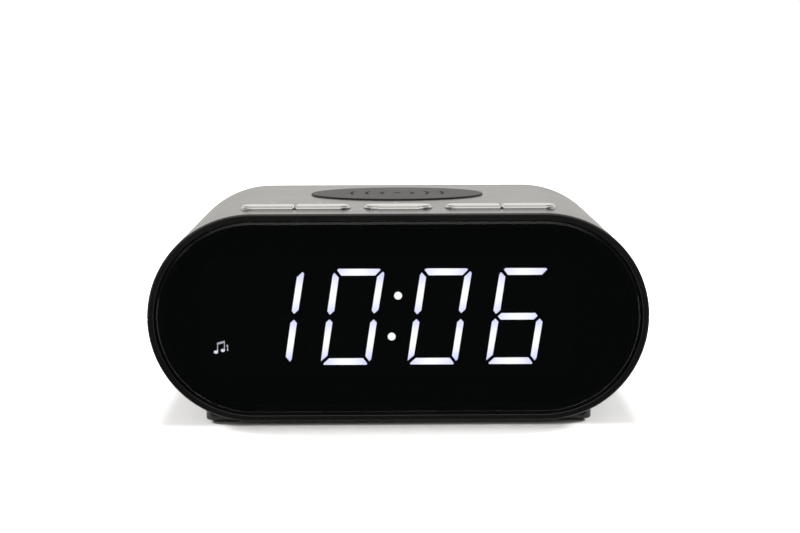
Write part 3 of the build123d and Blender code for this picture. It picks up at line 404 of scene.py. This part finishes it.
M = {
    "black_shell": mat_shell(),
    "smoked_lens": mat_lens(),
    "gasket_foam": mat_foam("gasket_foam", (0.012, 0.012, 0.012)),
    "display_housing": plastic("display_housing", (0.006, 0.006, 0.0065), 0.6, grain=1500),
    "lit_led": mat_led("light_bar", 7.0),
    "unlit_led": plastic("unlit_bar", (0.012, 0.012, 0.014), 0.45, grain=1200),
    "circuit_board": mat_board(),
    "zinc_screw": metal("zinc_screw", (0.62, 0.61, 0.58), 0.3),
    "black_screw": metal("black_screw", (0.05, 0.05, 0.052), 0.4),
    "black_component": plastic("moulded_epoxy", (0.012, 0.012, 0.013), 0.55, grain=2200),
    "ribbon_white": mat_ribbon(),
    "socket_white": plastic("cream_nylon", (0.72, 0.70, 0.62), 0.4, grain=900),
    "black_plastic": plastic("panel_black", (0.0085, 0.0085, 0.009), 0.42, grain=1300, grain_depth=0.00004, strength=0.4),
    "plated_steel": metal("nickel_plate", (0.66, 0.64, 0.6), 0.22),
    "black_steel": plastic("black_ecoat", (0.010, 0.010, 0.011), 0.35, grain=1600),
    "zinc_steel": metal("zinc_plate", (0.56, 0.55, 0.52), 0.35),
    "ferrite": mat_ferrite(),
    "copper": mat_copper(),
    "cone_paper": mat_paper(),
    "surround_rubber": mat_foam("surround_foam", (0.02, 0.02, 0.02)),
    "pad_rubber": mat_pad(),
    "pad_ink": plastic("pad_inlay", (0.004, 0.004, 0.004), 0.85, spec=0.12, grain=2000),
    "foot_rubber": plastic("foot_rubber", (0.008, 0.008, 0.008), 0.7, grain=1100, strength=0.4, grain_depth=0.00005),
    "chromed_key": mat_key(),
    "switch_plunger": plastic("acetal", (0.62, 0.60, 0.52), 0.35, grain=900),
    "black_cap": plastic("cover_black", (0.0085, 0.0085, 0.009), 0.38, grain=1500),
    "capacitor_sleeve": mat_sleeve(),
}
front_board = mat_board("circuit_board_front", "y")
flat_coil = mat_coil("flat_coil_turns", "z", (0.0, 0.0132), 0.00055)
long_coil = mat_coil("voice_coil_turns", "y", None, 0.0003)

for sp in frame["record"]["subparts"]:
    ob = nodes[sp["node"]]
    m = M[sp["material_slot"]]
    if sp["node"] == "display_pcb":
        m = front_board
    if sp["node"] == "charging_coil":
        m = flat_coil
    if sp["node"] == "voice_coil":
        m = long_coil
    ob.data.materials.clear()
    ob.data.materials.append(m)


# ------------------------------------------------------------------ mesh help
def new_mesh(name, verts, faces, mat, body="root", slot=None, smooth=False):
    me = bpy.data.meshes.new(name)
    me.from_pydata([tuple(v) for v in verts], [], faces)
    me.update()
    ob = bpy.data.objects.new(name, me)
    scene.collection.objects.link(ob)
    me.materials.append(mat)
    if smooth:
        for p in me.polygons:
            p.use_smooth = True
    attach(ob, body)
    return ob


def loops_prism(name, loops, place, a0, a1, mat, **kw):
    """Straight-sided thin pieces: each loop of 2-D points (mm) is carried from level a0 to a1 by place(u, v, a)."""
    verts, faces = [], []
    for lp in loops:
        n = len(lp)
        o = len(verts)
        verts += [place(u, v, a0) for u, v in lp] + [place(u, v, a1) for u, v in lp]
        faces.append(tuple(range(o + n - 1, o - 1, -1)))
        faces.append(tuple(range(o + n, o + 2 * n)))
        faces += [(o + i, o + (i + 1) % n, o + n + (i + 1) % n, o + n + i) for i in range(n)]
    ob = new_mesh(name, verts, faces, mat, **kw)
    bm = bmesh.new()
    bm.from_mesh(ob.data)
    bmesh.ops.recalc_face_normals(bm, faces=bm.faces)
    bm.to_mesh(ob.data)
    bm.free()
    return ob


def strip(outer, inner):
    """Ring between two closed loops of equal count, as quads (a list of small loops)."""
    n = len(outer)
    return [[outer[i], outer[(i + 1) % n], inner[(i + 1) % n], inner[i]] for i in range(n)]


def ring_prism(name, outer, inner, place, a0, a1, mat, **kw):
    """One closed piece between an outer and an inner loop of equal count."""
    n = len(outer)
    verts = ([place(u, v, a0) for u, v in outer] + [place(u, v, a0) for u, v in inner]
             + [place(u, v, a1) for u, v in outer] + [place(u, v, a1) for u, v in inner])
    faces = []
    for i in range(n):
        j = (i + 1) % n
        faces += [(i, j, n + j, n + i), (2 * n + i, 3 * n + i, 3 * n + j, 2 * n + j),
                  (i, 2 * n + i, 2 * n + j, j), (n + i, n + j, 3 * n + j, 3 * n + i)]
    ob = new_mesh(name, verts, faces, mat, **kw)
    bm = bmesh.new()
    bm.from_mesh(ob.data)
    bmesh.ops.recalc_face_normals(bm, faces=bm.faces)
    bm.to_mesh(ob.data)
    bm.free()
    return ob


def arc(cx, cy, r, a0, a1, n=16):
    return [(cx + r * cos(radians(a0 + (a1 - a0) * i / n)), cy + r * sin(radians(a0 + (a1 - a0) * i / n)))
            for i in range(n + 1)]


def disc(cx, cy, r, n=20):
    return arc(cx, cy, r, 0, 360 - 360 / n, n - 1)


def bar(x0, y0, x1, y1):
    return [(x0, y0), (x1, y0), (x1, y1), (x0, y1)]


def bent_bar(cx, cy, r, w, a0, a1, n=12):
    return arc(cx, cy, r + w / 2, a0, a1, n) + arc(cx, cy, r - w / 2, a1, a0, n)


def slot_loop(w, h, n=24):
    """Closed pill outline, w wide and h high, from the right end round."""
    r = h / 2
    return arc(w / 2 - r, 0, r, -90, 90, n) + arc(-(w / 2 - r), 0, r, 90, 270, n)


# faces of the casing that carry small printed or moulded marks
def on_top(u, v, a):
    return (u * MM, v * MM, ZT + a * MM)


def on_back(u, v, a):          # u runs to the left as seen from behind
    return (-u * MM, (57.0 + a) * MM, ZC + v * MM)


def on_under(u, v, a):         # seen from below, front edge at the top
    return (u * MM, -v * MM, (1.5 - a) * MM)


def facing(u, v, a):           # sheet parallel to the lens, a runs to the front
    return (u * MM, -a * MM, ZC + v * MM)


ink = plastic("pale_print", (0.085, 0.085, 0.083), 0.42, grain=1500, tint=0.06)
ink_grey = plastic("grey_print", (0.18, 0.18, 0.18), 0.5, grain=1500, tint=0.06)
# black sheet that stands in for the shade inside the casing behind the lens
shade_sheet_black = plastic("black_shade_sheet", (0.0022, 0.0024, 0.0028), 0.5, spec=0.3, grain=1800)

# small pictures behind the keys: bell, bell with dots, crescent, minus, plus
def bell(cx, cy, s):
    body = [(-1.0, -0.62), (-0.72, -0.36), (-0.66, 0.2)] + arc(0, 0.25, 0.62, 170, 10, 10) + [(0.66, 0.2), (0.72, -0.36), (1.0, -0.62)]
    return [[(cx + s * x, cy + s * y) for x, y in body], disc(cx, cy - s * 0.9, s * 0.22, 12)]


top_marks = []
top_marks += bell(-52.0, -18.6, 2.0) + [disc(-48.6, -18.4, 0.55, 12)]
top_marks += bell(-32.6, -18.9, 2.0) + [disc(-29.2, -17.6, 0.55, 12), disc(-29.2, -19.6, 0.55, 12)]
moon = arc(0.2, -19.8, 2.1, 60, 300, 20) + arc(1.25, -19.8, 1.75, 270, 90, 16)
top_marks += [moon]
top_marks += [bar(29.2, -20.9, 32.2, -20.2)]
top_marks += [bar(51.4, -21.25, 54.6, -20.45), bar(52.6, -22.45, 53.4, -21.25), bar(52.6, -20.45, 53.4, -19.25)]
loops_prism("key_icons", top_marks, on_top, -0.01, 0.02, ink)

# black sheet behind the lens, with a window for the light bars: it stands in for the shade inside the closed casing, so
# the lit parts inside don't show through the lens
n_side = 24
outer = slot_loop(200 - 13.2, 84 - 13.2, n_side)
wx0, wx1, wz = -79.4, 69.4, 24.4
inner = []
for i in range(n_side + 1):                    # right end, bottom to top
    t = i / n_side
    inner.append((wx1, -wz + 2 * wz * t))
for i in range(n_side + 1):                    # left end, top to bottom
    t = i / n_side
    inner.append((wx0, wz - 2 * wz * t))
ring_prism("lens_mask", outer, inner, facing, 54.53, 54.66, shade_sheet_black)

# cloth behind the speaker holes
c_out = disc(48, 0, 19.8, 48)
loops_prism("grille_cloth", [c_out], lambda u, v, a: (u * MM, a * MM, ZC + v * MM), 54.25, 54.55, mat_cloth())

# generic marks by the sockets: centre-positive plug diagram, and a phone with a charge arrow
marks = []
cx, cy = 55.0, -15.6
marks += [bent_bar(cx, cy, 1.7, 0.4, 35, 325, 24), disc(cx, cy, 0.6, 14), bar(cx + 0.6, cy - 0.18, cx + 4.4, cy + 0.18),
          bar(cx - 4.4, cy - 0.18, cx - 1.9, cy + 0.18), bent_bar(cx + 5.5, cy, 1.1, 0.3, 0, 356, 20),
          bent_bar(cx - 5.5, cy, 1.1, 0.3, 0, 356, 20), bar(cx + 4.95, cy - 0.12, cx + 6.05, cy + 0.12),
          bar(cx + 5.38, cy + 0.12, cx + 5.62, cy + 0.55), bar(cx + 5.38, cy - 0.55, cx + 5.62, cy - 0.12),
          bar(cx - 6.05, cy - 0.12, cx - 4.95, cy + 0.12)]
ux, uy = 30.0, -18.0
marks += [bar(ux - 1.6, uy - 2.6, ux - 1.25, uy + 2.6), bar(ux + 1.25, uy - 2.6, ux + 1.6, uy + 2.6),
          bar(ux - 1.25, uy + 2.2, ux + 1.25, uy + 2.6), bar(ux - 1.25, uy - 2.6, ux + 1.25, uy - 1.9),
          [(ux - 0.15, uy + 1.6), (ux - 0.7, uy + 0.1), (ux - 0.05, uy + 0.1), (ux - 0.2, uy - 1.1), (ux + 0.7, uy + 0.55), (ux + 0.05, uy + 0.55), (ux + 0.35, uy + 1.6)]]
loops_prism("socket_marks", marks, on_back, -0.01, 0.02, ink_grey)

# blank rating plate and turn marks underneath
plate = mat_plate = plastic("blank_plate", (0.28, 0.28, 0.285), 0.45, grain=900, tint=0.05)
p_out = [(-52, -6), (-8, -6), (-8, 22), (-52, 22)]
loops_prism("blank_rating_plate", [p_out], on_under, -0.01, 0.12, plate)
under = []
bx, by = 40.0, 15.0
for a in (0, 90):
    under.append(bent_bar(bx, by, 16.2, 0.5, a + 100, a + 132, 14))
    tip = a + 136
    r0 = 16.2
    under.append([(bx + (r0 + d) * cos(radians(q)), by + (r0 + d) * sin(radians(q))) for d, q in ((-1.0, a + 131.5), (1.0, a + 131.5), (0.0, tip))])
loops_prism("cover_turn_marks", under, on_under, -0.01, 0.03, ink_grey)


def chip_boxes(name, boxes, mat, bevel=0.12, body="root"):
    """Small bevelled blocks (x0, y0, z0, x1, y1, z1) in mm, with a chamfer all round."""
    bm = bmesh.new()
    for x0, y0, z0, x1, y1, z1 in boxes:
        vs = [bm.verts.new((x * MM, y * MM, z * MM)) for x in (x0, x1) for y in (y0, y1) for z in (z0, z1)]
        fs = [(0, 1, 3, 2), (4, 6, 7, 5), (0, 4, 5, 1), (2, 3, 7, 6), (0, 2, 6, 4), (1, 5, 7, 3)]
        new = [bm.faces.new([vs[i] for i in f]) for f in fs]
        bmesh.ops.bevel(bm, geom=list({e for f in new for e in f.edges}), offset=bevel * MM, segments=1, affect="EDGES")
    bmesh.ops.recalc_face_normals(bm, faces=bm.faces)
    me = bpy.data.meshes.new(name)
    bm.to_mesh(me)
    bm.free()
    me.materials.append(mat)
    ob = bpy.data.objects.new(name, me)
    scene.collection.objects.link(ob)
    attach(ob, body)
    return ob


# small parts on the boards
res = plastic("chip_resistor", (0.02, 0.02, 0.022), 0.4, grain=2000)
cer = plastic("chip_capacitor", (0.30, 0.20, 0.12), 0.45, grain=2000)
tin = metal("tin_ends", (0.7, 0.69, 0.66), 0.3)
taken = [(-62, 2, -38, 22), (-29, -1, -15, 13), (-13, 24, -3, 32), (-52, -15, -44, -9), (-46, 32, -38, 40), (-26, 32, -18, 40),
         (-12, 10, -4, 18), (-2, 16, 6, 24), (-41, -28.5, -19, -23.5), (-58, -28.5, -42, -23.5), (-61, 40, -49, 55), (-37, 42, -23, 57),
         (-69, -33, -63, -27), (3, -33, 9, -27), (-69, 33, -63, 39), (3, 33, 9, 39)]
body_r, body_c, ends = [], [], []
random.seed(11)
tries = 0
while len(body_r) + len(body_c) < 46 and tries < 900:
    tries += 1
    x, y = random.uniform(-69, 9), random.uniform(-35, 50)
    w, d = random.choice([(2.0, 1.2), (1.2, 2.0), (3.2, 1.6)])
    if any(x + w / 2 + 0.8 > t[0] and x - w / 2 - 0.8 < t[2] and y + d / 2 + 0.8 > t[1] and y - d / 2 - 0.8 < t[3] for t in taken):
        continue
    taken.append((x - w / 2, y - d / 2, x + w / 2, y + d / 2))
    z0, h = 13.62, random.choice([0.5, 0.8, 1.2])
    if w > d:
        core, e1, e2 = (x - w / 2 + 0.35, x + w / 2 - 0.35), (x - w / 2, x - w / 2 + 0.35), (x + w / 2 - 0.35, x + w / 2)
        (body_r if h < 0.7 else body_c).append((core[0], y - d / 2, z0, core[1], y + d / 2, z0 + h))
        for e in (e1, e2):
            ends.append((e[0], y - d / 2 - 0.02, z0 - 0.01, e[1], y + d / 2 + 0.02, z0 + h + 0.02))
    else:
        core, e1, e2 = (y - d / 2 + 0.35, y + d / 2 - 0.35), (y - d / 2, y - d / 2 + 0.35), (y + d / 2 - 0.35, y + d / 2)
        (body_r if h < 0.7 else body_c).append((x - w / 2, core[0], z0, x + w / 2, core[1], z0 + h))
        for e in (e1, e2):
            ends.append((x - w / 2 - 0.02, e[0], z0 - 0.01, x + w / 2 + 0.02, e[1], z0 + h + 0.02))
chip_boxes("main_board_resistors", body_r, res, 0.06)
chip_boxes("main_board_capacitors", body_c, cer, 0.1)
chip_boxes("main_board_part_ends", ends, tin, 0.05)
# pins of the flat chips
pins = []
for cx, cy, w, d, n in ((-22, 6, 14, 14, 11), (-8, 28, 10, 8, 7), (-48, -12, 8, 6, 4)):
    for i in range(n):
        t = (i - (n - 1) / 2) * 1.1
        pins += [(cx + t - 0.2, cy - d / 2 - 1.0, 13.6, cx + t + 0.2, cy - d / 2 + 0.02, 14.0),
                 (cx + t - 0.2, cy + d / 2 - 0.02, 13.6, cx + t + 0.2, cy + d / 2 + 1.0, 14.0)]
chip_boxes("main_chip_pins", pins, tin, 0.05)

# ------------------------------------------------------------------ camera
cam_data = bpy.data.cameras.new("camera")
cam = bpy.data.objects.new("camera", cam_data)
scene.collection.objects.link(cam)
yaw, pitch, roll = 0.00748, 0.15437, -0.00344
fwd = Vector((sin(yaw) * cos(pitch), cos(yaw) * cos(pitch), -sin(pitch)))
right = Vector((cos(yaw), -sin(yaw), 0))
up = right.cross(fwd)
r2 = cos(roll) * right + sin(roll) * up
u2 = -sin(roll) * right + cos(roll) * up
rot = Matrix((r2, u2, -fwd)).transposed()
cam.matrix_world = Matrix.Translation((-0.00379689, -0.65320649, 0.11360012 + ZC)) @ rot.to_4x4()
cam_data.sensor_width = 36.0
cam_data.lens = 36.0 * 1523.58 / 800.0
cam_data.clip_start = 0.01
cam_data.clip_end = 50
scene.camera = cam

# ------------------------------------------------------------------ studio
scene.view_settings.view_transform = "Standard"
scene.view_settings.look = "None"
scene.view_settings.exposure = 0.0

world = bpy.data.worlds.new("studio")
scene.world = world
world.use_nodes = True
wt = world.node_tree
wt.nodes.clear()


def wnode(kind, **props):
    n = wt.nodes.new(kind)
    for k, v in props.items():
        setattr(n, k, v)
    return n


tc = wnode("ShaderNodeTexCoord")
norm = wnode("ShaderNodeVectorMath", operation="NORMALIZE")
wt.links.new(tc.outputs["Generated"], norm.inputs[0])
DIR = norm.outputs[0]


def wmath(op, a, b=None):
    n = wnode("ShaderNodeMath", operation=op)
    for i, v in enumerate((a, b)):
        if v is None:
            continue
        if isinstance(v, (int, float)):
            n.inputs[i].default_value = v
        else:
            wt.links.new(v, n.inputs[i])
    return n.outputs[0]


def wmap(fac, a, b, c, d):
    n = wnode("ShaderNodeMapRange")
    n.interpolation_type = "SMOOTHSTEP"
    wt.links.new(fac, n.inputs["Value"])
    for k, v in zip(("From Min", "From Max", "To Min", "To Max"), (a, b, c, d)):
        n.inputs[k].default_value = v
    return n.outputs[0]


def blob(az, el, inner, outer, value):
    """Soft-edged patch of light around a direction: az 0 is behind the object, 180 is the camera's side."""
    a, e = radians(az), radians(el)
    d = wnode("ShaderNodeVectorMath", operation="DOT_PRODUCT")
    wt.links.new(DIR, d.inputs[0])
    d.inputs[1].default_value = (sin(a) * cos(e), cos(a) * cos(e), sin(e))
    return wmap(d.outputs["Value"], cos(radians(outer)), cos(radians(inner)), 0.0, value)


BACK, SIDE, OVER, FRONT, LEFTB = 1.08, 0.16, 1.15, 1.55, 1.5
sep = wnode("ShaderNodeSeparateXYZ")
wt.links.new(DIR, sep.inputs[0])
wx, wy, wz = sep.outputs
upper = wmap(wz, -0.02, 0.02, 0.0, 1.0)
back = wmap(wy, -0.15, 0.45, 0.0, 1.0)
frontal = wmap(wmath("MULTIPLY", wy, -1.0), 0.35, 0.85, 0.0, 1.0)
# above the horizon: bright sweep behind, darker room at the sides and in front
sky = wmath("ADD", wmath("MULTIPLY", back, BACK - SIDE), SIDE)
sky = wmath("MULTIPLY", sky, wmap(wz, 0.06, 0.17, 0.70, 1.10))  # a little dimmer towards the horizon
sky = wmath("MAXIMUM", sky, blob(180, 88, 30, 62, OVER))       # big soft box overhead
sky = wmath("MAXIMUM", sky, blob(180, 30, 18, 34, FRONT))      # soft box above the camera
sky = wmath("MAXIMUM", sky, blob(220, 18, 9, 20, LEFTB))       # window light at the front left
sky = wmath("MAXIMUM", sky, blob(262, 14, 6, 16, 0.62))         # pale wall at the left
sky = wmath("MAXIMUM", sky, blob(98, 14, 6, 16, 0.62))          # and at the right
# below it: white table, dark in front of it
low = wmath("ADD", wmath("MULTIPLY", frontal, -0.82), 0.86)
both = wmath("ADD", wmath("MULTIPLY", sky, upper), wmath("MULTIPLY", low, wmath("SUBTRACT", 1.0, upper)))
lp = wnode("ShaderNodeLightPath")
bg_env = wnode("ShaderNodeBackground")
cmb = wnode("ShaderNodeCombineColor")
for i, tint in enumerate((1.03, 1.0, 0.955)):
    wt.links.new(wmath("MULTIPLY", both, tint), cmb.inputs[i])
wt.links.new(cmb.outputs[0], bg_env.inputs["Color"])
bg_env.inputs["Strength"].default_value = 1.0
bg_cam = wnode("ShaderNodeBackground")
bg_cam.inputs["Color"].default_value = (1, 1, 1, 1)
bg_cam.inputs["Strength"].default_value = 1.05
mixw = wnode("ShaderNodeMixShader")
wt.links.new(lp.outputs["Is Camera Ray"], mixw.inputs[0])
wt.links.new(bg_env.outputs[0], mixw.inputs[1])
wt.links.new(bg_cam.outputs[0], mixw.inputs[2])
wo = wnode("ShaderNodeOutputWorld")
wt.links.new(mixw.outputs[0], wo.inputs["Surface"])

# floor: pale matt table.  A middle patch under the object is seen by its glossy
# surfaces, the rest isn't, so that the front keeps its dark look.
fm = Mat("floor_pale")
fm.val("Roughness", 0.9)
fm.val("Specular IOR Level", 0.05)
n = fm.noise(3.0, 2.0)
fm.link(fm.mix(fm.map(n, 0.3, 0.7, 0, 1), (0.495, 0.495, 0.493), (0.505, 0.505, 0.503)), fm.p.inputs["Base Color"])
S = 12.0
PX0, PX1, PY0, PY1 = -0.105, 0.105, -0.0635, 0.07


def floor_part(name, verts, faces, glossy):
    me = bpy.data.meshes.new(name)
    me.from_pydata(verts, [], faces)
    ob = bpy.data.objects.new(name, me)
    scene.collection.objects.link(ob)
    me.materials.append(fm.m)
    ob.visible_glossy = glossy
    ob.visible_diffuse = False
    return ob


floor_part("floor_middle", [(PX0, PY0, 0), (PX1, PY0, 0), (PX1, PY1, 0), (PX0, PY1, 0)], [(0, 1, 2, 3)], True)
floor_part("floor_around", [(-S, -S, 0), (S, -S, 0), (S, S, 0), (-S, S, 0),
                            (PX0, PY0, 0), (PX1, PY0, 0), (PX1, PY1, 0), (PX0, PY1, 0)],
           [(0, 1, 5, 4), (1, 2, 6, 5), (2, 3, 7, 6), (3, 0, 4, 7)], False)


def sun(name, az, el, spread, power):
    """Distant soft light that the floor sees but reflections don't."""
    d = bpy.data.lights.new(name, "SUN")
    d.energy = power
    d.angle = radians(spread)
    o = bpy.data.objects.new(name, d)
    scene.collection.objects.link(o)
    a, e = radians(az), radians(el)
    v = Vector((sin(a) * cos(e), cos(a) * cos(e), sin(e)))
    o.rotation_euler = v.to_track_quat("Z", "Y").to_euler()
    o.visible_glossy = False
    return o


sun("soft_over", 0, 86.5, 19, 4.6)
sun("soft_left", -66, 30, 16, 6.5)
sun("soft_right", 66, 30, 16, 6.5)
